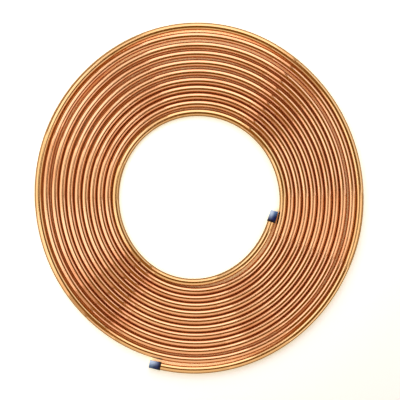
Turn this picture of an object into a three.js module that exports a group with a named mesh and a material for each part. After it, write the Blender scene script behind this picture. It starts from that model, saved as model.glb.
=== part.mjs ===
// Soft copper tube wound into a flat coil one layer thick, with a push-on cap over each end.
// Millimetres, +Z up. The coil lies on the floor z = 0, and its winding axis is the Z axis.
import * as THREE from "three";

// Tube: half-inch soft copper
const TUBE_OD = 12.7;
const TUBE_WALL = 0.81;
const OUTSIDE_SIDES = 12; // flats of the outside, one of them facing down, up and to each side
const BORE_SIDES = 8;

// Winding, told by the angle turned since the inner end. The tube runs clockwise and outwards.
const INNER_END_AZIMUTH = 348.3; // from +X, degrees
const TURNED = 4054; // degrees from the inner end to the outer end: 11 turns and a quarter
const FIRST_TURN_RADIUS = 148.2; // of the tube's centre line round the mandrel
const TURN_GAP = 0.36; // between turns pressed against each other

// Step-over: in the first quarter of each turn the tube moves out past the start of the turn inside it
const STEP_OVER_FROM = 7; // degrees into the turn
const STEP_OVER_TO = 108;

// The coil is a little oval, as it was pressed when it was tied
const OVAL = 2.5;
const OVAL_AT = 63; // degrees into the turn

// Slack: places where a turn stands off from the turn inside it. Angles are degrees turned.
const BACK = 251; // degrees into a turn that bring the tube to the back of the coil
const BACK_SLACK_WIDTH = 104;
const BACK_SLACK = [2.2, 0.1, 0.3, 0.3, 2.3, 2.7, 2.9, 1.8, 0.9, 0]; // from the second turn outwards
const SLACK = [
  ...BACK_SLACK.map((gap, i) => ({ gap, at: 360 * (i + 1) + BACK, halfWidth: BACK_SLACK_WIDTH })),
  { gap: 2.8, at: 3560, halfWidth: 313 }, // the tenth turn was wound loosely
  { gap: 3.5, at: 3860, halfWidth: 47 }, // short bow in the last full turn
];

// Both ends spring away from the coil, and run straight into their caps
const TAIL_SPRING = 4.5; // outwards, at the outer end
const TAIL_LENGTH = 82; // degrees
const LEAD_SPRING = 2.8; // inwards, at the inner end
const LEAD_LENGTH = 80; // degrees
const LEAD_BOW = { gap: 3.4, at: 57, halfWidth: 62 }; // how much further in it bows past the cap
const STRAIGHT_END = 15;

// End caps: tapered moulded cups with a bead round the mouth, pushed part of the way on
const BEAD_OD = 15.3;
const BEAD_LENGTH = 2.2;
const CAP_MOUTH_OD = 14.7;
const CAP_CLOSED_OD = 13.7;
const CAP_BORE = 13.5; // as deep as the tube goes in
const CAP_BORE_END = 11.6; // where the bore's taper meets its floor
const CAP_LENGTH = 20.6;
const CAP_DEPTH_ON_TUBE = 14.2;
const CAP_END_WALL = 1.2;
const CAP_EDGE = 1.2; // radius of the closed end's edge
const CAP_SIDES = 24;
const EDGE_STEPS = 3;

// The beads are wider than the tube, so they hold its ends off the floor
const END_LIFT = (BEAD_OD - TUBE_OD) / 2;
const LEVEL_LENGTH = 80; // along the tube from its end
const LIFT_LENGTH = 150; // over which the tube then comes down to the floor

const STEPS_PER_TURN = 27;
const STEP = 360 / STEPS_PER_TURN;

const UP = new THREE.Vector3(0, 0, 1);

// 0 before t = 0, 1 after t = 1, and smooth between them
function ease(t) {
  return THREE.MathUtils.smoothstep(t, 0, 1);
}

// 1 at distance 0, falling smoothly to 0 at halfWidth
function bump(distance, halfWidth) {
  const t = Math.min(Math.abs(distance) / halfWidth, 1);
  return Math.cos((t * Math.PI) / 2) ** 2;
}

// What a place of slack adds to the gap
function slackAt(turned, place) {
  return place.gap * bump(turned - place.at, place.halfWidth);
}

// Gap between a turn and the turn inside it
function gapAt(turned) {
  return SLACK.reduce((gap, place) => gap + slackAt(turned, place), TURN_GAP);
}

// The first turn follows the mandrel, and starts one pitch inside it
function firstTurnRadius(turned) {
  const pitch = TUBE_OD + gapAt(360);
  const left = 1 - ease((turned - STEP_OVER_FROM) / (STEP_OVER_TO - STEP_OVER_FROM));
  const oval = OVAL * Math.cos(2 * THREE.MathUtils.degToRad(turned - OVAL_AT));
  return FIRST_TURN_RADIUS + oval - pitch * left;
}

// Every later turn lies against the turn inside it
function woundRadius(turned) {
  if (turned < 360) return firstTurnRadius(turned);
  return woundRadius(turned - 360) + TUBE_OD + gapAt(turned);
}

function tailSpring(turned) {
  return TAIL_SPRING * ease(1 - (TURNED - turned) / TAIL_LENGTH);
}

function leadSpring(turned) {
  const fade = ease((LEAD_LENGTH - turned) / (LEAD_LENGTH - STEP));
  return LEAD_SPRING * fade + slackAt(turned, LEAD_BOW);
}

// Height of the centre line above the floor, for a distance along the tube from its nearer end
function heightAt(fromEnd) {
  return TUBE_OD / 2 + END_LIFT * ease(1 - (fromEnd - LEVEL_LENGTH) / LIFT_LENGTH);
}

function radiusAt(turned) {
  return woundRadius(turned) + tailSpring(turned) - leadSpring(turned);
}

function centreAt(turned) {
  const radius = radiusAt(turned);
  const azimuth = THREE.MathUtils.degToRad(INNER_END_AZIMUTH - turned);
  const fromEnd = THREE.MathUtils.degToRad(Math.min(turned, TURNED - turned)) * radius;
  return new THREE.Vector3(
    radius * Math.cos(azimuth),
    radius * Math.sin(azimuth),
    heightAt(fromEnd),
  );
}

// Degrees turned over the straight end that leaves the winding near a given angle
function straightTurn(turned) {
  return THREE.MathUtils.radToDeg(STRAIGHT_END / radiusAt(turned));
}

// End of the tube, straight on from the winding; way is -1 at the inner end and 1 at the outer end
function straightOn(turned, way) {
  const tangent = centreAt(turned + 1).sub(centreAt(turned - 1)).normalize();
  return centreAt(turned).addScaledVector(tangent, way * STRAIGHT_END);
}

// Centre line of the tube: straight stretches between stations that line up from turn to turn
class WindingCurve extends THREE.Curve {
  constructor() {
    super();
    const first = straightTurn(0);
    const last = TURNED - straightTurn(TURNED);
    this.stations = [straightOn(first, -1), centreAt(first)];
    for (let turned = STEP; turned < last; turned += STEP) this.stations.push(centreAt(turned));
    this.stations.push(centreAt(last), straightOn(last, 1));
    this.steps = this.stations.length - 1;
  }

  getPoint(t) {
    return this.stations[Math.round(t * this.steps)].clone();
  }

  getUtoTmapping(u) {
    return u;
  }

  // Direction of the stretch that leaves station i
  direction(i) {
    const stretch = THREE.MathUtils.clamp(i, 0, this.steps - 1);
    return this.stations[stretch + 1].clone().sub(this.stations[stretch]).normalize();
  }

  // Sections stand in the mitre plane of the two stretches that meet, and are never rolled
  computeFrenetFrames(segments) {
    const frames = { tangents: [], normals: [], binormals: [] };
    for (let i = 0; i <= segments; i++) {
      const tangent = this.direction(i - 1).add(this.direction(i)).normalize();
      frames.tangents.push(tangent);
      frames.normals.push(UP.clone().cross(tangent).normalize());
      frames.binormals.push(UP.clone());
    }
    return frames;
  }
}

// Corners of a regular polygon that is `across` from flat to flat, with a flat facing down
function polygon(across, sides) {
  const half = Math.PI / sides;
  const radius = across / 2 / Math.cos(half);
  return Array.from({ length: sides }, (_, i) => {
    const angle = (2 * i + 1) * half;
    return new THREE.Vector2(radius * Math.cos(angle), radius * Math.sin(angle));
  });
}

// Annular section of the tube
function tubeSection() {
  const section = new THREE.Shape(polygon(TUBE_OD, OUTSIDE_SIDES));
  section.holes.push(new THREE.Path(polygon(TUBE_OD - 2 * TUBE_WALL, BORE_SIDES)));
  return section;
}

function copperTube(winding) {
  const geometry = new THREE.ExtrudeGeometry(tubeSection(), {
    steps: winding.steps,
    extrudePath: winding,
  });
  const copper = new THREE.MeshStandardMaterial({
    color: 0xc87846,
    roughness: 0.25,
    metalness: 1,
  });
  const mesh = new THREE.Mesh(geometry, copper);
  mesh.name = "copper_tube";
  return mesh;
}

// Profile of a cap from its bore floor, by the mouth, to its rounded closed end; y is along the tube
function capProfile() {
  const edge = Array.from({ length: EDGE_STEPS + 1 }, (_, i) => {
    const angle = (i / EDGE_STEPS) * (Math.PI / 2);
    return new THREE.Vector2(
      CAP_CLOSED_OD / 2 - CAP_EDGE + CAP_EDGE * Math.cos(angle),
      CAP_LENGTH - CAP_EDGE + CAP_EDGE * Math.sin(angle),
    );
  });
  return [
    new THREE.Vector2(0, CAP_LENGTH - CAP_END_WALL),
    new THREE.Vector2(CAP_BORE_END / 2, CAP_LENGTH - CAP_END_WALL),
    new THREE.Vector2(CAP_BORE / 2, CAP_DEPTH_ON_TUBE),
    new THREE.Vector2(CAP_BORE / 2, 0),
    new THREE.Vector2(BEAD_OD / 2, 0),
    new THREE.Vector2(BEAD_OD / 2, BEAD_LENGTH),
    new THREE.Vector2(CAP_MOUTH_OD / 2, BEAD_LENGTH),
    ...edge,
    new THREE.Vector2(0, CAP_LENGTH),
  ];
}

// A cap pushed over a tube end; outwards points out of the tube along its last straight stretch
function endCap(name, end, outwards) {
  const plastic = new THREE.MeshStandardMaterial({
    color: 0x2c4fa0,
    roughness: 0.4,
    metalness: 0,
  });
  const mesh = new THREE.Mesh(new THREE.LatheGeometry(capProfile(), CAP_SIDES), plastic);
  mesh.name = name;
  mesh.quaternion.setFromUnitVectors(new THREE.Vector3(0, 1, 0), outwards);
  mesh.position.copy(end).addScaledVector(outwards, -CAP_DEPTH_ON_TUBE);
  return mesh;
}

const winding = new WindingCurve();
const coil = new THREE.Group();
coil.add(copperTube(winding));
coil.add(endCap("inner_end_cap", winding.stations[0], winding.direction(0).negate()));
coil.add(endCap("outer_end_cap", winding.stations.at(-1), winding.direction(winding.steps)));

export default coil;
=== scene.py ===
"""Looks of a flat coil of half-inch soft copper tube with a push-on cap over each end.

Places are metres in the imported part's own frame: the coil lies on z = 0 and its winding axis is
the Z axis. The tube runs clockwise and outwards, and a place along it is told by the angle that
it has turned since its inner end.
"""

import logging
import math
from collections.abc import Callable, Mapping, Sequence
from dataclasses import dataclass, field
from enum import Enum
from functools import partial
from typing import Any

import bpy
from mathutils import Matrix, Vector


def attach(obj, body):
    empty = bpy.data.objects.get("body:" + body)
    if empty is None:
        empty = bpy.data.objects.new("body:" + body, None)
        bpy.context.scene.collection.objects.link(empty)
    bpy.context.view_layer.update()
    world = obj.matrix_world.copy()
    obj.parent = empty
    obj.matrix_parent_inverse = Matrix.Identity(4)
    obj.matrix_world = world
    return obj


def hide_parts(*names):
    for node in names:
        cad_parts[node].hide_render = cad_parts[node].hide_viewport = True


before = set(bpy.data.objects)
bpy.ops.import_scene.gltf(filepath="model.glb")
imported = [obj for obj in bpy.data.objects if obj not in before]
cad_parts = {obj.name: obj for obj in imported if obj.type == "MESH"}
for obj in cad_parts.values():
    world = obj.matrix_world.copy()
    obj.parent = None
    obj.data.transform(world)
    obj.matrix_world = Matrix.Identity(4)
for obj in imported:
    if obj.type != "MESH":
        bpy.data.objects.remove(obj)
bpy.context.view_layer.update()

LOG = logging.getLogger("copper_tube_coil")
BODY = "root"
MM = 0.001
# Attributes: a spot's place across and along the tube as if it weren't wound, and its height
# above a revolved mesh's own foot, which is a cap's depth from its mouth
UNROLLED = "unrolled"
DEPTH = "depth"

MATH = "ShaderNodeMath"
VECTOR_MATH = "ShaderNodeVectorMath"
MAP_RANGE = "ShaderNodeMapRange"
MIX = "ShaderNodeMix"
NOISE = "ShaderNodeTexNoise"
BUMP = "ShaderNodeBump"
STORE = "GeometryNodeStoreNamedAttribute"
SMOOTH = {"interpolation_type": "SMOOTHSTEP"}

# What feeds an input socket, and what adds nodes to one tree
Feed = bpy.types.Node | bpy.types.NodeSocket
Adder = Callable[..., bpy.types.Node]


class Slot(Enum):
    """The record's material slots."""

    COPPER = "copper"
    CAP_PLASTIC = "cap_plastic"


class TubeEnd(Enum):
    """The two ends of the tube, each with the way that leads out of the tube there."""

    INNER = -1
    OUTER = 1


def linear(colour: str) -> tuple[float, float, float, float]:
    """Turns a colour as it is seen into the one that the shaders work with.

    Args:
        colour: An sRGB colour as "#rrggbb".

    Returns:
        Linear red, green and blue, and an opaque alpha.
    """
    parts = [int(colour[i : i + 2], 16) / 255 for i in (1, 3, 5)]
    red, green, blue = (
        part / 12.92 if part <= 0.04045 else ((part + 0.055) / 1.055) ** 2.4 for part in parts
    )
    return red, green, blue, 1.0


def ease(t: float) -> float:
    """0 before t = 0, 1 after t = 1, and smooth between them."""
    t = min(max(t, 0.0), 1.0)
    return t * t * (3 - 2 * t)


def bump(distance: float, half_width: float) -> float:
    """1 at distance 0, falling smoothly to 0 at half_width."""
    return math.cos(min(abs(distance) / half_width, 1.0) * math.pi / 2) ** 2


def add_node(
    tree: bpy.types.NodeTree,
    kind: str,
    inputs: Mapping[str | int, Any] | None = None,
    **settings: Any,
) -> bpy.types.Node:
    """Adds one node to a tree, with its settings and its inputs.

    Args:
        tree: The tree that gets the node.
        kind: The node's type name.
        inputs: For an input socket, by name or number, its value or what feeds it: a socket, or
            a node, of which the first output in use is taken. A socket that takes several gets
            a list of them.
        **settings: Properties of the node by name.

    Returns:
        The new node.
    """
    node = tree.nodes.new(kind)
    for name, value in settings.items():
        setattr(node, name, value)
    for key, value in (inputs or {}).items():
        for feed in value if isinstance(value, list) else [value]:
            if isinstance(feed, bpy.types.Node):
                feed = next(socket for socket in feed.outputs if socket.enabled)
            if isinstance(feed, bpy.types.NodeSocket):
                tree.links.new(feed, node.inputs[key])
            else:
                node.inputs[key].default_value = feed
    return node


def new_material(name: str) -> tuple[bpy.types.Material, Adder]:
    """Starts a material.

    Args:
        name: The material's name.

    Returns:
        The material, and what adds nodes to its empty tree.
    """
    made = bpy.data.materials.new(name)
    made.use_nodes = True
    made.node_tree.nodes.clear()
    return made, partial(add_node, made.node_tree)


@dataclass(frozen=True)
class Slack:
    """A place where a turn stands off from the turn inside it: millimetres and degrees turned."""

    gap: float
    at: float
    half_width: float

    def adds(self, turned: float) -> float:
        """What the place adds to the gap at an angle turned."""
        return self.gap * bump(turned - self.at, self.half_width)


def default_slack() -> tuple[Slack, ...]:
    """Lists where the turns stand off, as the part winds them.

    Returns:
        The slack at the back of the coil, from the second turn outwards, then the loose tenth
        turn and a short bow in the last full turn.
    """
    back, half_width = 251, 104
    gaps = (2.2, 0.1, 0.3, 0.3, 2.3, 2.7, 2.9, 1.8, 0.9)
    at_back = [Slack(gap, 360 * turn + back, half_width) for turn, gap in enumerate(gaps, 1)]
    return (*at_back, Slack(2.8, 3560, 313), Slack(3.5, 3860, 47))


@dataclass(frozen=True)
class Winding:
    """The rule that the tube's centre line follows, in millimetres and degrees turned."""

    tube_od: float = 12.7
    inner_end_azimuth: float = 348.3
    turned: float = 4054
    first_turn_radius: float = 148.2
    turn_gap: float = 0.36
    step_over_from: float = 7
    step_over_to: float = 108
    oval: float = 2.5
    oval_at: float = 63
    slack: tuple[Slack, ...] = field(default_factory=default_slack)
    tail_spring: float = 4.5
    tail_length: float = 82
    lead_spring: float = 2.8
    lead_length: float = 80
    # The lead keeps its full spring over the first of the part's 27 steps a turn
    lead_hold: float = 360 / 27
    lead_bow: Slack = Slack(3.4, 57, 62)
    straight_end: float = 15
    end_lift: float = 1.3
    level_length: float = 80
    lift_length: float = 150

    def gap_at(self, turned: float) -> float:
        """Gap between a turn and the turn inside it."""
        return self.turn_gap + sum(place.adds(turned) for place in self.slack)

    def first_turn_at(self, turned: float) -> float:
        """Gives the radius of the first turn, which starts one pitch inside the mandrel's line.

        Args:
            turned: Degrees turned, below 360.

        Returns:
            The centre line's radius.
        """
        pitch = self.tube_od + self.gap_at(360)
        step_over = (turned - self.step_over_from) / (self.step_over_to - self.step_over_from)
        oval = self.oval * math.cos(2 * math.radians(turned - self.oval_at))
        return self.first_turn_radius + oval - pitch * (1 - ease(step_over))

    def wound_at(self, turned: float) -> float:
        """Gives the radius before the ends spring away: each turn lies against the one inside.

        Args:
            turned: Degrees turned.

        Returns:
            The centre line's radius.
        """
        if turned < 360:
            return self.first_turn_at(turned)
        return self.wound_at(turned - 360) + self.tube_od + self.gap_at(turned)

    def radius_at(self, turned: float) -> float:
        """Gives the radius with the tail sprung outwards and the lead sprung inwards.

        Args:
            turned: Degrees turned.

        Returns:
            The centre line's radius.
        """
        tail = self.tail_spring * ease(1 - (self.turned - turned) / self.tail_length)
        fade = (self.lead_length - turned) / (self.lead_length - self.lead_hold)
        lead = self.lead_spring * ease(fade) + self.lead_bow.adds(turned)
        return self.wound_at(turned) + tail - lead

    def centre_at(self, turned: float) -> Vector:
        """Gives a point of the wound centre line.

        Args:
            turned: Degrees turned.

        Returns:
            The point, in metres. Near both ends the tube is held up by the caps' beads.
        """
        radius = self.radius_at(turned)
        azimuth = math.radians(self.inner_end_azimuth - turned)
        from_end = math.radians(min(turned, self.turned - turned)) * radius
        lift = self.end_lift * ease(1 - (from_end - self.level_length) / self.lift_length)
        height = self.tube_od / 2 + lift
        return Vector((radius * math.cos(azimuth), radius * math.sin(azimuth), height)) * MM

    def leaves_at(self, end: TubeEnd) -> float:
        """Degrees turned where the straight end leaves the winding."""
        nominal = 0.0 if end is TubeEnd.INNER else self.turned
        return nominal - end.value * math.degrees(self.straight_end / self.radius_at(nominal))

    def outwards(self, end: TubeEnd) -> Vector:
        """Gives the direction in which the tube runs out of its straight end.

        Args:
            end: Which end.

        Returns:
            The direction, of length 1.
        """
        turned = self.leaves_at(end)
        along = self.centre_at(turned + 1) - self.centre_at(turned - 1)
        return along.normalized() * end.value

    def end_point(self, end: TubeEnd) -> Vector:
        """Centre of the tube's end face."""
        reach = self.outwards(end) * self.straight_end * MM
        return self.centre_at(self.leaves_at(end)) + reach

    def centre_line(self, per_turn: int) -> list[Vector]:
        """Samples the centre line from the inner end face to the outer one.

        Args:
            per_turn: How many points a turn gets.

        Returns:
            The points, in metres.
        """
        first, last = self.leaves_at(TubeEnd.INNER), self.leaves_at(TubeEnd.OUTER)
        count = round((last - first) / 360 * per_turn)
        wound = [self.centre_at(first + (last - first) * i / count) for i in range(count + 1)]
        inner, outer = self.end_point(TubeEnd.INNER), self.end_point(TubeEnd.OUTER)
        lead = [inner, inner.lerp(wound[0], 1 / 3), inner.lerp(wound[0], 2 / 3)]
        tail = [outer.lerp(wound[-1], 2 / 3), outer.lerp(wound[-1], 1 / 3), outer]
        return [*lead, *wound, *tail]


@dataclass(frozen=True)
class Rise:
    """A number that goes smoothly from 0, where a value is start, to top, where it is stop."""

    start: float
    stop: float
    top: float = 1.0

    def over(self, value: Feed) -> dict[str | int, Any]:
        """What a Map Range node takes in to follow the value."""
        return {"Value": value, "From Min": self.start, "From Max": self.stop, "To Max": self.top}

    def mirrored(self) -> "Rise":
        """The same rise on the other side of 0."""
        return Rise(-self.start, -self.stop, self.top)


@dataclass(frozen=True)
class Pattern:
    """How large a noise pattern is across and along the tube, and how many octaves it has."""

    across: float
    along: float
    octaves: float

    def scale(self) -> tuple[float, float, float]:
        """The pattern's scale along each axis of the tube's unrolled coordinates."""
        return 1 / self.across, 1 / self.across, 1 / self.along


@dataclass(frozen=True)
class BrightDrawnCopper:
    """Soft copper tube, drawn bright and annealed.

    Drawing leaves a mirror-like skin with faint lines along the tube. Handling and air dull it
    a little, in patches that are browner and less sharp.
    """

    name: str = "bright drawn copper tube"
    bright: str = "#ECB88C"
    rosy: str = "#E8AE84"
    browned: str = "#BE7440"
    # Tint of what the skin reflects where it is seen at a glancing angle
    edge: str = "#E2C4A4"
    polish: float = 0.07
    dullness: float = 0.15
    # Die lines are a few hundredths of a millimetre apart: drawn at 1.1 mm so that they show
    lines: Pattern = Pattern(1.1 * MM, 160 * MM, 3)
    line_height: float = 0.006 * MM
    patches: Pattern = Pattern(14 * MM, 70 * MM, 4)
    # Bending leaves shallow waves along the tube
    waves: Pattern = Pattern(9 * MM, 38 * MM, 1)
    wave_height: float = 0.05 * MM
    tones: Pattern = Pattern(620 * MM, 620 * MM, 1)
    rosiness: Rise = Rise(0.38, 0.64)
    browning: Rise = Rise(0.50, 0.78, 0.55)
    # Wear is the browning and a share of the lines, less what still counts as clean
    line_wear: float = 0.5
    clean: float = 0.22
    dullest_wear: float = 0.6
    # The sides that lie against the next turns are painted darker, as painted shade between the
    # turns, and they are rougher
    shaded_flank: str = "#A4682A"
    flank_shade: Rise = Rise(4.7 * MM, 5.9 * MM, 0.55)
    flank_roughness: float = 0.6
    # The innermost and the outermost turn are painted golden, as a painted reflection of the open
    # white board beside them: the first and the last stretch of the tube, in metres along it
    rim_reflection: str = "#DDBA7C"
    rim_reflection_share: float = 0.55
    first_turn: Rise = Rise(0.96, 0.86)
    last_turn: Rise = Rise(13.40, 13.50)
    # The sides of those two turns that face no other turn are painted darker and browner, as a
    # painted dark reflection along the coil's inner and outer edge
    rim_shade: str = "#7C5228"
    rim_shade_band: Rise = Rise(2.0 * MM, 6.35 * MM, 0.95)

    def material(self) -> bpy.types.Material:
        """Builds the material on the tube's unrolled coordinates.

        Returns:
            The material.
        """
        made, add = new_material(self.name)
        unrolled = add("ShaderNodeAttribute", attribute_name=UNROLLED).outputs["Vector"]
        noises = []
        for pattern in (self.lines, self.patches, self.waves, self.tones):
            drawn_out = add("ShaderNodeMapping", {"Vector": unrolled, "Scale": pattern.scale()})
            noises.append(
                add(NOISE, {"Vector": drawn_out, "Scale": 1.0, "Detail": pattern.octaves})
            )
        lines, patches, waves, tones = noises
        rosiness = add(MAP_RANGE, self.rosiness.over(tones), **SMOOTH)
        browning = add(MAP_RANGE, self.browning.over(patches), **SMOOTH)
        wear = add(MATH, {0: lines, 1: self.line_wear, 2: browning}, operation="MULTIPLY_ADD")
        worn = add(MATH, {0: wear, 1: self.clean}, operation="SUBTRACT", use_clamp=True)
        place = add("ShaderNodeSeparateXYZ", {0: unrolled}).outputs
        off = add(MATH, {0: place["X"]}, operation="ABSOLUTE")
        # Painted shade on the sides that lie against the next turns
        flank_shading = add(MAP_RANGE, self.flank_shade.over(off), **SMOOTH)
        # Painted reflection and painted dark edge on the innermost and the outermost turn
        rim_reflection, rim_shade = self._painted_rims(add, place["X"], place["Z"])
        colour = linear(self.bright)
        for share, tint in (
            (rosiness, self.rosy),
            (worn, self.browned),
            (flank_shading, self.shaded_flank),
            (rim_reflection, self.rim_reflection),
            (rim_shade, self.rim_shade),
        ):
            colour = add(MIX, {0: share, 6: colour, 7: linear(tint)}, data_type="RGBA")
        dulled = {"From Max": self.dullest_wear, "To Min": self.polish, "To Max": self.dullness}
        dull = add(MAP_RANGE, {"Value": worn, **dulled})
        flank_shade = {0: flank_shading, 1: self.flank_roughness, 2: dull}
        roughness = add(MATH, flank_shade, operation="MULTIPLY_ADD")
        waved = add(BUMP, {"Height": waves, "Strength": 1.0, "Distance": self.wave_height})
        lined = {"Height": lines, "Strength": 1.0, "Distance": self.line_height}
        metal = add(
            "ShaderNodeBsdfPrincipled",
            {
                "Base Color": colour,
                "Metallic": 1.0,
                "Roughness": roughness,
                "Specular Tint": linear(self.edge),
                "Normal": add(BUMP, {**lined, "Normal": waved}),
            },
        )
        add("ShaderNodeOutputMaterial", {"Surface": metal})
        return made

    def _painted_rims(self, add: Adder, across: Feed, along: Feed) -> tuple[Feed, Feed]:
        """Works out the painted reflection and the painted dark edge of the innermost and the
        outermost turn.

        Args:
            add: What adds nodes to the material's tree.
            across: Place across the tube, more than 0 on the side of the coil's middle.
            along: Place along the tube.

        Returns:
            How much painted golden reflection and how much painted dark edge a spot gets.
        """
        first = add(MAP_RANGE, self.first_turn.over(along), **SMOOTH)
        last = add(MAP_RANGE, self.last_turn.over(along), **SMOOTH)
        either = add(MATH, {0: first, 1: last}, operation="ADD")
        rim_reflection = add(MATH, {0: either, 1: self.rim_reflection_share}, operation="MULTIPLY")
        inner = add(MAP_RANGE, self.rim_shade_band.over(across), **SMOOTH)
        outer = add(MAP_RANGE, self.rim_shade_band.mirrored().over(across), **SMOOTH)
        on_last = add(MATH, {0: outer, 1: last}, operation="MULTIPLY")
        return rim_reflection, add(MATH, {0: inner, 1: first, 2: on_last}, operation="MULTIPLY_ADD")


@dataclass(frozen=True)
class MouldedPolyethylene:
    """Soft polyethylene, injection moulded and a little see-through.

    Over the tube it looks navy. Light comes through its hollow closed end, which is paler.
    """

    name: str = "moulded blue polyethylene"
    # Round its mouth it is painted nearly black, as painted shade. Depths are metres from the mouth.
    mouth: str = "#17101F"
    over_tube: str = "#0C2468"
    tube_depth: Rise = Rise(2.0 * MM, 6.5 * MM)
    hollow: str = "#5580BC"
    hollow_depth: Rise = Rise(10.2 * MM, 21.1 * MM)
    # The hollow's edge looks uneven: in clouds of this size, and by up to this depth
    cloud: float = 5 * MM
    cloud_depth: float = 4 * MM
    # The side that faces this way is painted paler, as painted light from the brightest lamps, less
    # so near the mouth
    painted_light_tint: str = "#C8E0FC"
    painted_light_side: tuple[float, float, float] = (-0.77, 0.64, 0.0)
    painted_light: Rise = Rise(-0.35, 0.5, 0.95)
    painted_light_depth: Rise = Rise(2.0 * MM, 17.2 * MM)
    # The mould's polish leaves a smooth skin
    roughness: float = 0.10
    refraction: float = 1.51
    shine: float = 0.12
    # Mould grain is about 0.05 mm: drawn at 0.5 mm so that it shows
    grain: float = 0.5 * MM
    grain_height: float = 0.012 * MM
    octaves: float = 2.0

    def material(self) -> bpy.types.Material:
        """Builds the material on the caps' depth attribute and Object coordinates.

        Returns:
            The material.
        """
        made, add = new_material(self.name)
        depth = add("ShaderNodeAttribute", attribute_name=DEPTH).outputs["Fac"]
        place = add("ShaderNodeTexCoord").outputs
        grain, clouds = (
            add(NOISE, {"Vector": place["Object"], "Scale": 1 / size, "Detail": self.octaves})
            for size in (self.grain, self.cloud)
        )
        uneven = add(MATH, {0: clouds, 1: self.cloud_depth, 2: depth}, operation="MULTIPLY_ADD")
        on_tube = add(MAP_RANGE, self.tube_depth.over(depth), **SMOOTH)
        emptied = add(MAP_RANGE, self.hollow_depth.over(uneven), **SMOOTH)
        # Painted light on the side of the cap that faces the brightest lamps
        facing = add(
            VECTOR_MATH, {0: place["Normal"], 1: self.painted_light_side}, operation="DOT_PRODUCT"
        )
        painted_lighting = add(MAP_RANGE, self.painted_light.over(facing), **SMOOTH)
        deep = add(MAP_RANGE, self.painted_light_depth.over(depth), **SMOOTH)
        painted_light = add(MATH, {0: painted_lighting, 1: deep}, operation="MULTIPLY")
        # Starts from the painted shade round the mouth
        colour = linear(self.mouth)
        layers = ((on_tube, self.over_tube), (emptied, self.hollow), (painted_light, self.painted_light_tint))
        for share, tint in layers:
            colour = add(MIX, {0: share, 6: colour, 7: linear(tint)}, data_type="RGBA")
        raised = add(BUMP, {"Height": grain, "Strength": 1.0, "Distance": self.grain_height})
        plastic = add(
            "ShaderNodeBsdfPrincipled",
            {
                "Base Color": colour,
                "Roughness": self.roughness,
                "IOR": self.refraction,
                "Normal": raised,
                "Specular IOR Level": self.shine,
            },
        )
        add("ShaderNodeOutputMaterial", {"Surface": plastic})
        return made


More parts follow.
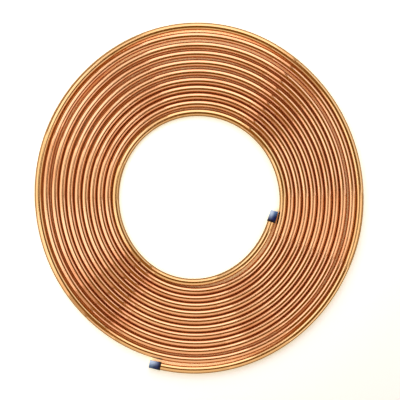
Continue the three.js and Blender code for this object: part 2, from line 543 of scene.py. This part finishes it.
@dataclass(frozen=True)
class WhiteBoard:
    """Matt white board of the studio floor, which takes the coil's shadow.

    Away from the coil, where the lamps no longer reach, it is shown white all the same. Between the
    turns it is painted darker and coppery and glows, as painted shade and painted copper-coloured
    bounce light, the more so the closer they lie.
    """

    name: str = "matt white board"
    # Its colour by how much of the sky a spot sees past what stands within `near` of it: painted
    # shade and bounce light between the turns
    tones: tuple[tuple[float, str], ...] = (
        (0.0, "#8A3A0A"),
        (0.06, "#98500A"),
        (0.20, "#E87A22"),
        (0.30, "#F8BE88"),
        (0.37, "#FFF4B8"),
        (0.50, "#FFFEE4"),
        (0.90, "#F7F6F4"),
    )
    near: float = 20 * MM
    sky_samples: int = 8
    # How much of the sky a spot sees as it comes out from between the turns into the open
    opening: Rise = Rise(0.40, 0.48)
    # Painted light that the board gives off between the turns for what the copper throws down there,
    # at each distance from the middle: most of it between the innermost and the outermost ones
    let_in: tuple[tuple[float, float], ...] = (
        (0.140, 0.50),
        (0.155, 0.27),
        (0.245, 0.27),
        (0.262, 0.42),
        (0.278, 0.52),
        (0.288, 0.95),
    )
    # How much brighter that painted light is as a spot's direction from the middle turns to the back,
    # where the turns stand further apart and the brightest lamp shines in
    back: Rise = Rise(0.80, 0.97, 1.3)
    # Light that the lamps don't carry, at each distance from the middle in metres
    shown: tuple[tuple[float, float], ...] = (
        (0.0, 0.50),
        (0.136, 0.55),
        (0.29, 0.60),
        (0.4, 0.55),
        (0.6, 0.55),
        (1.8, 0.90),
    )

    def material(self) -> bpy.types.Material:
        """Builds the material.

        Returns:
            The material.
        """
        made, add = new_material(self.name)
        ray = add("ShaderNodeLightPath").outputs
        seen = ray["Is Camera Ray"]
        for other in ("Is Glossy Ray", "Is Transmission Ray"):
            seen = add(MATH, {0: seen, 1: ray[other]}, operation="MAXIMUM")
        sky = add(
            "ShaderNodeAmbientOcclusion", {"Distance": self.near}, samples=self.sky_samples
        ).outputs["AO"]
        glow = self._glow(add, sky)
        strength = add(MATH, {0: glow, 1: seen}, operation="MULTIPLY")
        # The dark, coppery tones between the turns are painted shade and painted bounce light
        tone = add("ShaderNodeValToRGB", {"Fac": sky})
        self._place_stops(tone, [(share, linear(colour)) for share, colour in self.tones])
        board = add("ShaderNodeBsdfDiffuse", {"Color": tone})
        # The board glows: painted light between the turns, and an even white in the open
        shine = add("ShaderNodeEmission", {"Color": tone, "Strength": strength})
        both = add("ShaderNodeAddShader", {0: board, 1: shine})
        add("ShaderNodeOutputMaterial", {"Surface": both})
        return made

    def _glow(self, add: Adder, sky: Feed) -> Feed:
        """Works out how brightly the board shines by itself, between the turns or in the open.

        Args:
            add: What adds nodes to the material's tree.
            sky: How much of the sky a spot sees.

        Returns:
            The level.
        """
        place = add("ShaderNodeTexCoord").outputs["Object"]
        distance = add(VECTOR_MATH, {0: place}, operation="LENGTH")
        direction = add(VECTOR_MATH, {0: place}, operation="NORMALIZE")
        parts = add("ShaderNodeSeparateXYZ", {0: direction}).outputs
        gain = add(MAP_RANGE, {**self.back.over(parts["Y"]), "To Min": 1.0}, **SMOOTH)
        let_in = self._level(add, distance, self.let_in)
        between = add(MATH, {0: let_in, 1: gain}, operation="MULTIPLY")
        ends = {"To Min": between, "To Max": self._level(add, distance, self.shown)}
        return add(MAP_RANGE, {**self.opening.over(sky), **ends}, **SMOOTH)

    def _level(self, add: Adder, distance: Feed, levels: Sequence[tuple[float, float]]) -> Feed:
        """Works out a number that changes with the distance from the middle.

        Args:
            add: What adds nodes to the material's tree.
            distance: The distance.
            levels: Distance in metres and number there, in order of distance.

        Returns:
            The number.
        """
        reach = levels[-1][0]
        top = max(number for _, number in levels)
        share = add(MATH, {0: distance, 1: reach}, operation="DIVIDE")
        ramp = add("ShaderNodeValToRGB", {"Fac": share})
        stops = [(at / reach, (*[number / top] * 3, 1.0)) for at, number in levels]
        self._place_stops(ramp, stops)
        return add(MATH, {0: ramp, 1: top}, operation="MULTIPLY")

    @staticmethod
    def _place_stops(
        ramp: bpy.types.Node, stops: Sequence[tuple[float, tuple[float, float, float, float]]]
    ) -> None:
        """Places a ramp's stops.

        Args:
            ramp: The node that holds the ramp.
            stops: Place on the ramp and colour of each stop, in order.
        """
        elements = ramp.color_ramp.elements
        while len(elements) < len(stops):
            elements.new(1.0)
        for element, (position, colour) in zip(elements, stops):
            element.position = position
            element.color = colour


def new_object(name: str, data: bpy.types.ID) -> bpy.types.Object:
    """Puts a mesh, a lamp or a camera into the scene.

    Args:
        name: The object's name.
        data: The mesh, already in place, or the lamp or camera.

    Returns:
        The object, at the origin.
    """
    made = bpy.data.objects.new(name, data)
    bpy.context.scene.collection.objects.link(made)
    return made


def revolve(
    name: str, profile: Sequence[tuple[float, float]], sides: int, place: Matrix
) -> bpy.types.Mesh:
    """Turns a profile about its own axis into a closed mesh with smooth faces.

    Args:
        name: The mesh's name.
        profile: Radius and height of its points in metres, outside on the left of its way.
            A point of radius 0 is a pole.
        sides: How many faces go round.
        place: Where the axis goes: its Z is the profile's height.

    Returns:
        The mesh, in place, with each vertex's height in the depth attribute.
    """
    rings: list[list[int]] = []
    points: list[Vector] = []
    heights: list[float] = []
    for radius, height in profile:
        around = 1 if radius == 0 else sides
        rings.append(list(range(len(points), len(points) + around)))
        for i in range(around):
            angle = 2 * math.pi * i / sides
            point = Vector((radius * math.cos(angle), radius * math.sin(angle), height))
            points.append(place @ point)
            heights.append(height)
    faces: list[tuple[int, ...]] = []
    for lower, upper in zip(rings, rings[1:]):
        for i in range(sides):
            corners = (
                lower[i % len(lower)],
                lower[(i + 1) % len(lower)],
                upper[(i + 1) % len(upper)],
                upper[i % len(upper)],
            )
            faces.append(tuple(dict.fromkeys(corners)))
    mesh = bpy.data.meshes.new(name)
    mesh.from_pydata(points, [], faces)
    mesh.attributes.new(DEPTH, "FLOAT", "POINT").data.foreach_set("value", heights)
    mesh.shade_smooth()
    return mesh


class SweepTree:
    """Geometry Nodes that sweep a round tube with a real wall along a line of edges."""

    NAME = "Sweep drawn tube"
    FLOATS = ("Outside Diameter", "Wall", "Waviness", "Wave Length", "Held Length")
    # The waves are at full size this many held lengths from an end
    FREE_AT = 3.0
    # The tube lies on the board, so that it only waves upwards, and less than it does sideways
    UPWARDS = 0.5
    MERGED = 0.001 * MM

    def __init__(self) -> None:
        """Builds the tree."""
        self.tree = bpy.data.node_groups.new(self.NAME, "GeometryNodeTree")
        self._state("INPUT", "Geometry", "Centre Line")
        self._state("INPUT", "Float", *self.FLOATS)
        self._state("INPUT", "Int", "Sides", "Seed")
        self._state("INPUT", "Material", "Metal")
        self._state("OUTPUT", "Geometry", "Tube")
        self.add = partial(add_node, self.tree)
        self.given = self.add("NodeGroupInput").outputs
        self.along = self.add("GeometryNodeSplineParameter").outputs["Length"]
        skin = self._sweep(self._wave(self._line()))
        real = self.add("GeometryNodeRealizeInstances", {"Geometry": self._thicken(skin)})
        dressing = {"Geometry": real, "Material": self.given["Metal"]}
        self.add("NodeGroupOutput", {"Tube": self.add("GeometryNodeSetMaterial", dressing)})

    def apply(self, piece: bpy.types.Object, sizes: Mapping[str, Any]) -> None:
        """Runs the tree on an object and leaves the result as its plain mesh.

        Args:
            piece: Object whose mesh is the centre line.
            sizes: The tree's inputs by name.
        """
        modifier = piece.modifiers.new(self.NAME, "NODES")
        modifier.node_group = self.tree
        for item in self.tree.interface.items_tree:
            if item.in_out == "INPUT" and item.name in sizes:
                modifier[item.identifier] = sizes[item.name]
        graph = bpy.context.evaluated_depsgraph_get()
        mesh = bpy.data.meshes.new_from_object(
            piece.evaluated_get(graph), preserve_all_data_layers=True, depsgraph=graph
        )
        piece.modifiers.remove(modifier)
        line = piece.data
        piece.data = mesh
        bpy.data.meshes.remove(line)
        mesh.name = piece.name

    def _state(self, way: str, kind: str, *names: str) -> None:
        """Names some of the tree's inputs or outputs.

        Args:
            way: "INPUT" or "OUTPUT".
            kind: What they carry.
            *names: Their names.
        """
        for name in names:
            socket = f"NodeSocket{kind}"
            self.tree.interface.new_socket(name, in_out=way, socket_type=socket)

    def _line(self) -> Feed:
        """Makes the centre line a curve that is never rolled and knows its own length.

        Returns:
            The curve.
        """
        curve = self.add("GeometryNodeMeshToCurve", {"Mesh": self.given["Centre Line"]})
        level = self.add("GeometryNodeSetCurveNormal", {"Curve": curve}, mode="Z_UP")
        measured = {"Geometry": level, "Name": "along", "Value": self.along}
        return self.add(STORE, measured, data_type="FLOAT", domain="POINT")

    def _wave(self, line: Feed) -> Feed:
        """Moves the centre line a little in and out and upwards, but not inside the caps.

        Args:
            line: The curve.

        Returns:
            The moved curve.
        """
        held, seed = self.given["Held Length"], self.given["Seed"]
        long = self.add("GeometryNodeCurveLength", {"Curve": line})
        left = self.add(MATH, {0: long, 1: self.along}, operation="SUBTRACT")
        nearer = self.add(MATH, {0: self.along, 1: left}, operation="MINIMUM")
        free_from = self.add(MATH, {0: held, 1: self.FREE_AT}, operation="MULTIPLY")
        reach = {"Value": nearer, "From Min": held, "From Max": free_from}
        free = self.add(MAP_RANGE, reach, **SMOOTH)
        waves = self.add(MATH, {0: self.along, 1: self.given["Wave Length"]}, operation="DIVIDE")
        drawn = self.add(MATH, {0: waves, 1: seed}, operation="ADD")
        noise = self.add(NOISE, {"W": drawn, "Scale": 1.0, "Detail": 1.0}, noise_dimensions="1D")
        colour = noise.outputs["Color"]
        split = self.add("FunctionNodeSeparateColor", {"Color": colour}).outputs
        size = self.add(MATH, {0: self.given["Waviness"], 1: free}, operation="MULTIPLY")
        swing = self.add(MATH, {0: split["Red"], 1: 0.5}, operation="SUBTRACT")
        sideways = self.add(MATH, {0: swing, 1: size}, operation="MULTIPLY")
        upwards = self.add(MATH, {0: size, 1: self.UPWARDS}, operation="MULTIPLY")
        up = self.add(MATH, {0: split["Green"], 1: upwards}, operation="MULTIPLY")
        here = self.add("GeometryNodeInputPosition")
        flat = self.add(VECTOR_MATH, {0: here, 1: (1.0, 1.0, 0.0)}, operation="MULTIPLY")
        radial = self.add(VECTOR_MATH, {0: flat}, operation="NORMALIZE")
        push = self.add(VECTOR_MATH, {0: radial, "Scale": sideways}, operation="SCALE")
        lift = self.add("ShaderNodeCombineXYZ", {"Z": up})
        both = self.add(VECTOR_MATH, {0: push, 1: lift}, operation="ADD")
        return self.add("GeometryNodeSetPosition", {"Geometry": line, "Offset": both})

    def _sweep(self, line: Feed) -> Feed:
        """Sweeps the outside circle and writes where each point was before the tube was wound.

        Args:
            line: The curve.

        Returns:
            The open outside skin.
        """
        radius = self.add(MATH, {0: self.given["Outside Diameter"], 1: 0.5}, operation="MULTIPLY")
        ring = {"Resolution": self.given["Sides"], "Radius": radius}
        circle = self.add("GeometryNodeCurvePrimitiveCircle", ring, mode="RADIUS")
        here = self.add("GeometryNodeInputPosition")
        placed = {"Geometry": circle, "Name": "section", "Value": here}
        section = self.add(STORE, placed, data_type="FLOAT_VECTOR", domain="POINT")
        swept = self.add("GeometryNodeCurveToMesh", {"Curve": line, "Profile Curve": section})
        around, along = (
            self.add("GeometryNodeInputNamedAttribute", {"Name": name}, data_type=kind)
            for name, kind in (("section", "FLOAT_VECTOR"), ("along", "FLOAT"))
        )
        parts = self.add("ShaderNodeSeparateXYZ", {0: around}).outputs
        flat = self.add("ShaderNodeCombineXYZ", {"X": parts["X"], "Y": parts["Y"], "Z": along})
        unrolled = {"Geometry": swept, "Name": UNROLLED, "Value": flat}
        skin = self.add(STORE, unrolled, data_type="FLOAT_VECTOR", domain="POINT")
        for name in ("section", "along"):
            skin = self.add("GeometryNodeRemoveAttribute", {"Geometry": skin, "Name": name})
        return skin

    def _thicken(self, skin: Feed) -> Feed:
        """Adds the bore and the two end faces.

        Args:
            skin: The outside skin.

        Returns:
            The closed tube, its end faces flat and its walls smooth.
        """
        inwards = self.add(MATH, {0: self.given["Wall"], 1: -1.0}, operation="MULTIPLY")
        shell = {"Mesh": skin, "Offset Scale": inwards, "Individual": False}
        bore = self.add("GeometryNodeExtrudeMesh", shell, mode="FACES")
        ends = {"Geometry": bore, "Selection": bore.outputs["Side"], "Shade Smooth": False}
        flat_ends = self.add("GeometryNodeSetShadeSmooth", ends, domain="FACE")
        turned = self.add("GeometryNodeFlipFaces", {"Mesh": flat_ends})
        whole = self.add("GeometryNodeJoinGeometry", {"Geometry": [turned, skin]})
        merging = {"Geometry": whole, "Distance": self.MERGED}
        return self.add("GeometryNodeMergeByDistance", merging)


@dataclass
class CopperTube:
    """The tube itself, wound into eleven and a quarter turns."""

    winding: Winding
    finish: BrightDrawnCopper = BrightDrawnCopper()
    name: str = "wound_copper_tube"
    wall: float = 0.81 * MM
    sides: int = 24
    per_turn: int = 160
    waviness: float = 0.16 * MM
    wave_length: float = 90 * MM
    held_length: float = 40 * MM
    seed: int = 7

    def build(self) -> bpy.types.Object:
        """Sweeps the tube along its winding and hands it to the part's body.

        Returns:
            The tube.
        """
        points = self.winding.centre_line(self.per_turn)
        line = bpy.data.meshes.new("centre line")
        line.from_pydata(points, [(i, i + 1) for i in range(len(points) - 1)], [])
        tube = new_object(self.name, line)
        SweepTree().apply(
            tube,
            {
                "Outside Diameter": self.winding.tube_od * MM,
                "Wall": self.wall,
                "Sides": self.sides,
                "Waviness": self.waviness,
                "Wave Length": self.wave_length,
                "Held Length": self.held_length,
                "Seed": self.seed,
                "Metal": self.finish.material(),
            },
        )
        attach(tube, BODY)
        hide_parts("copper_tube")
        return tube


@dataclass
class EndCap:
    """A moulded cap with a bead round its mouth, pushed part of the way over a tube end."""

    winding: Winding
    end: TubeEnd
    name: str
    node: str
    plastic: bpy.types.Material
    bead_radius: float = 7.65
    bead_length: float = 2.2
    mouth_radius: float = 7.35
    closed_radius: float = 6.85
    bore_radius: float = 6.75
    bore_end_radius: float = 5.8
    bore_bevel: float = 0.5
    # A ring of points at this height keeps the lip's shading off the rest of the bore
    lip_ring: float = 1.0
    length: float = 20.6
    depth_on_tube: float = 14.2
    end_wall: float = 1.2
    edge: float = 1.2
    lip: float = 0.35
    # Where the skin leaves the bead, beyond the mouth's radius and the bead's length
    bead_foot: tuple[tuple[float, float], ...] = ((0.02, 0.12), (-0.02, 0.7))
    # Radius, and depth below the closed end, of the dish with the moulding gate in its middle
    gate: tuple[tuple[float, float], ...] = (
        (3.5, 0.0),
        (3.0, 0.22),
        (2.6, 0.3),
        (1.1, 0.3),
        (0.95, 0.1),
        (0.0, 0.05),
    )
    sides: int = 64
    bend_faces: int = 5

    def build(self) -> bpy.types.Object:
        """Moulds the cap where the tube ends and hands it to the part's body.

        Returns:
            The cap.
        """
        outwards = self.winding.outwards(self.end)
        mouth = self.winding.end_point(self.end) - outwards * self.depth_on_tube * MM
        place = Matrix.Translation(mouth) @ outwards.to_track_quat("Z", "Y").to_matrix().to_4x4()
        profile = [(radius * MM, height * MM) for radius, height in self._profile()]
        mesh = revolve(self.name, profile, self.sides, place)
        mesh.materials.append(self.plastic)
        cap = new_object(self.name, mesh)
        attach(cap, BODY)
        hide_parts(self.node)
        return cap

    def _profile(self) -> list[tuple[float, float]]:
        """Lists the cap's half section from its bore floor, by the mouth, to its closed end.

        Returns:
            Radius and height above the mouth, in millimetres.
        """
        floor = self.length - self.end_wall
        lip, edge = self.lip, self.edge
        bead = self.bead_radius - lip
        return [
            (0.0, floor),
            (self.bore_end_radius - self.bore_bevel, floor),
            (self.bore_end_radius, floor - self.bore_bevel),
            (self.bore_radius, self.depth_on_tube),
            (self.bore_radius, self.lip_ring),
            *self._arc(self.bore_radius + lip, lip, lip, 180, 270),
            *self._arc(bead, lip, lip, 270, 360),
            (self.bead_radius, self.bead_length / 2),
            *self._arc(bead, self.bead_length - lip, lip, 0, 60),
            *((self.mouth_radius + out, self.bead_length + up) for out, up in self.bead_foot),
            ((self.mouth_radius + self.closed_radius) / 2, self.length / 2),
            *self._arc(self.closed_radius - edge, self.length - edge, edge, 0, 90),
            *((radius, self.length - depth) for radius, depth in self.gate),
        ]

    def _arc(
        self, radius: float, height: float, bend: float, start: float, stop: float
    ) -> list[tuple[float, float]]:
        """Rounds a corner of the section.

        Args:
            radius: Radius at which the bend's centre lies.
            height: Height of the bend's centre.
            bend: The bend's own radius.
            start: Angle at which it starts, in degrees.
            stop: Angle at which it stops, in degrees.

        Returns:
            Its points.
        """
        step = (stop - start) / self.bend_faces
        angles = [math.radians(start + step * i) for i in range(self.bend_faces + 1)]
        return [(radius + bend * math.cos(a), height + bend * math.sin(a)) for a in angles]


@dataclass(frozen=True)
class Softbox:
    """A soft flat lamp that leans over the coil and narrows towards it, made of level strips.

    It spans an angle round the coil, in degrees. Its two level edges are each given by how far
    from the middle and how high they are, in metres. A lamp that doesn't light matt things is only
    seen in polished ones, so that matt things are lit from the back and the left.
    """

    name: str
    start: float
    stop: float
    lower: tuple[float, float]
    upper: tuple[float, float]
    radiance: float
    colour: str = "#FFFFFF"
    lights_matt: bool = True
    strips: int = 4

    def build(self) -> None:
        """Hangs the lamp."""
        lower, upper = Vector(self.lower), Vector(self.upper)
        for i in range(self.strips):
            below = lower.lerp(upper, i / self.strips)
            above = lower.lerp(upper, (i + 1) / self.strips)
            self._hang(f"{self.name} {i + 1}", below, above)

    def _hang(self, name: str, below: Vector, above: Vector) -> None:
        """Hangs one strip.

        Args:
            name: The strip's name.
            below: Its lower edge.
            above: Its upper edge.
        """
        middle = (below + above) / 2
        up = (above - below).normalized()
        light = bpy.data.lights.new(name, "AREA")
        light.shape = "RECTANGLE"
        light.size = 2 * middle.x * math.tan(math.radians((self.stop - self.start) / 2))
        light.size_y = (above - below).length
        light.energy = self.radiance * math.pi * light.size * light.size_y
        light.color = linear(self.colour)[:3]
        lamp = new_object(name, light)
        turn = Matrix.Rotation(math.radians((self.start + self.stop) / 2), 4, "Z")
        across, along, back = Vector((0, 1, 0)), Vector((up.x, 0, up.y)), Vector((up.y, 0, -up.x))
        lean = Matrix((across, along, back)).transposed().to_4x4()
        lamp.matrix_world = turn @ Matrix.Translation((middle.x, 0, middle.y)) @ lean
        lamp.visible_camera = False
        lamp.visible_diffuse = self.lights_matt


def default_softboxes() -> tuple[Softbox, ...]:
    """Lists the ring of lamps round the coil, brightest at the back and left.

    Returns:
        The lamps.
    """
    return (
        Softbox("back right softbox", 2, 52, (1.30, 0.10), (1.09, 1.17), 1.45, "#E2EFFF"),
        Softbox("back wing fill", 42, 61, (0.50, 1.00), (0.06, 1.00), 0.17, "#FF9C80", False),
        Softbox("back wing", 53.5, 59, (1.30, 0.10), (0.84, 1.90), 1.25, "#FFF4FA"),
        Softbox("back softbox", 59, 111, (1.30, 0.10), (0.84, 1.90), 1.95, "#FAF7FF"),
        Softbox("back left softbox", 111, 130, (1.10, 0.50), (0.34, 0.75), 1.35, "#F4F6FF"),
        Softbox("left corner softbox", 130, 159, (1.00, 0.60), (0.06, 0.85), 1.95, "#F0F2FF"),
        Softbox("left softbox", 159, 186, (1.20, 0.25), (0.55, 1.00), 1.45),
        Softbox("left top light", 159, 186, (0.55, 1.00), (0.06, 1.00), 0.28),
        Softbox("front left softbox", 186, 209, (1.30, 0.10), (0.28, 0.97), 1.80, "#F0F4FF"),
        Softbox("front left wing", 209, 216, (1.30, 0.10), (0.45, 0.97), 1.25, "#FFF4F8"),
        Softbox("front left tip", 216, 225, (1.30, 0.10), (0.45, 0.97), 0.60, "#FFF4F4"),
        Softbox("front wing fill", 222, 241, (0.50, 1.00), (0.06, 1.00), 0.17, "#FF9C80", False),
        Softbox("front wing", 226, 238, (1.30, 0.10), (1.15, 1.05), 1.20, "#F4F0FF", False),
        Softbox("front softbox", 238, 282, (1.30, 0.14), (0.47, 0.66), 0.93, "#FFFAF4", False),
        Softbox("front second softbox", 282, 305, (1.30, 0.14), (0.56, 0.66), 0.97, "#FFFAF8", False),
        Softbox("front right softbox", 305, 337, (1.60, 0.04), (1.51, 1.15), 1.60, "#E9F2FF", False),
        Softbox("right softbox", 337, 362, (1.10, 0.45), (0.36, 0.56), 1.25, lights_matt=False),
        Softbox("right top light", 337, 362, (0.55, 1.00), (0.06, 1.00), 0.22, lights_matt=False),
    )


@dataclass
class Studio:
    """White board, a ring of soft lamps under a dim ceiling, and a camera straight above."""

    board: WhiteBoard = WhiteBoard()
    softboxes: tuple[Softbox, ...] = field(default_factory=default_softboxes)
    ceiling: str = "#826014"
    floor_radius: float = 5.5
    floor_rings: int = 8
    floor_sides: int = 72
    rim_radius: float = 1.1
    rim_step: int = 10
    # A pixel spans this much at the level of the tube's centre line
    pixel: float = 1.74 * MM
    level: float = 6.35 * MM
    # The image's width and the winding axis's place in it, in pixels
    image_width: int = 400
    axis_across: float = 199.33
    axis_down: float = 198.84
    camera_height: float = 3.6
    sensor: float = 36.0
    clip: tuple[float, float] = (0.1, 50.0)

    def build(self) -> None:
        """Sets up the floor, the lamps, the ceiling and the camera."""
        self._floor()
        for softbox in self.softboxes:
            softbox.build()
            LOG.info("lamp %s", softbox.name)
        self._ceiling()
        self._camera()
        bpy.context.scene.view_settings.view_transform = "Standard"

    def _floor(self) -> None:
        """Lays the board, which curves up to a low rim all round."""
        bend = [
            (
                self.floor_radius + self.rim_radius * math.sin(math.radians(angle)),
                self.rim_radius * (1 - math.cos(math.radians(angle))),
            )
            for angle in range(0, 91, self.rim_step)
        ]
        rings = self.floor_rings
        flat = [(self.floor_radius * i / rings, 0.0) for i in range(rings)]
        mesh = revolve("floor", [*flat, *bend], self.floor_sides, Matrix.Identity(4))
        mesh.flip_normals()
        mesh.materials.append(self.board.material())
        new_object("floor", mesh)

    def _ceiling(self) -> None:
        """Makes the world one dim even tone above the lamps."""
        world = bpy.data.worlds.new("dim ceiling")
        bpy.context.scene.world = world
        world.use_nodes = True
        tree = world.node_tree
        tree.nodes.clear()
        even = add_node(tree, "ShaderNodeBackground", {"Color": linear(self.ceiling)})
        add_node(tree, "ShaderNodeOutputWorld", {"Surface": even})

    def _camera(self) -> None:
        """Hangs the camera straight above, with the winding axis at its place in the image."""
        lens = bpy.data.cameras.new("camera")
        camera = new_object("camera", lens)
        middle = self.image_width / 2
        camera.location = (
            (middle - self.axis_across) * self.pixel,
            (self.axis_down - middle) * self.pixel,
            self.camera_height,
        )
        lens.sensor_width = self.sensor
        away = self.camera_height - self.level
        lens.lens = self.sensor * away / (self.image_width * self.pixel)
        lens.clip_start, lens.clip_end = self.clip
        bpy.context.scene.camera = camera


def main() -> None:
    """Builds the coil, then the studio round it."""
    logging.basicConfig(level=logging.INFO, format="%(name)s: %(message)s")
    winding = Winding()
    plastic = MouldedPolyethylene().material()
    makers = (
        CopperTube(winding),
        EndCap(winding, TubeEnd.INNER, "inner_push_on_cap", "inner_end_cap", plastic),
        EndCap(winding, TubeEnd.OUTER, "outer_push_on_cap", "outer_end_cap", plastic),
    )
    for maker in makers:
        piece = maker.build()
        LOG.info("piece %s: %d faces", piece.name, len(piece.data.polygons))
    Studio().build()


if __name__ == "__main__":
    main()
